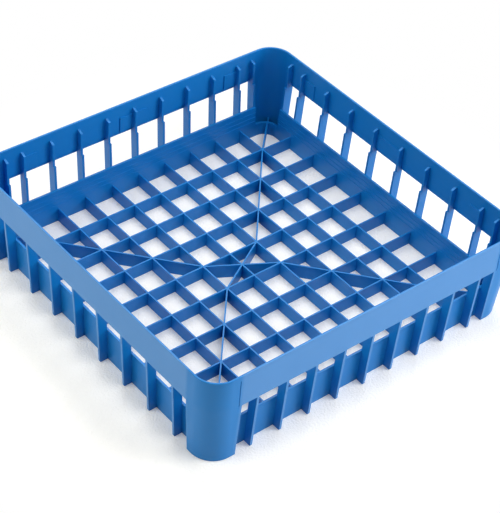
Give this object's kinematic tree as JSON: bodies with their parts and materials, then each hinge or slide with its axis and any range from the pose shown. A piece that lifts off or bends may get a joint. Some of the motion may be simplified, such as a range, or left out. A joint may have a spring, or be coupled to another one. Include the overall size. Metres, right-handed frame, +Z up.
{
  "type": "glass rack",
  "caption": "Square open-topped glass rack: an upright band on corner posts and window fins over a low wall, with an open lattice floor crossed by diagonal ribs.",
  "frame": {"origin": "on the table, under the middle of the rack", "axes": "+Z up out of the open top; +X along the walls with the closer fins; +Y along the walls with the wider fins"},
  "size_m": [0.4, 0.4, 0.109],
  "materials": {
    "blue_polypropylene": "satin moulded polypropylene"
  },
  "bodies": {
    "root": {"glass_rack": "blue_polypropylene"}
  },
  "joints": []
}
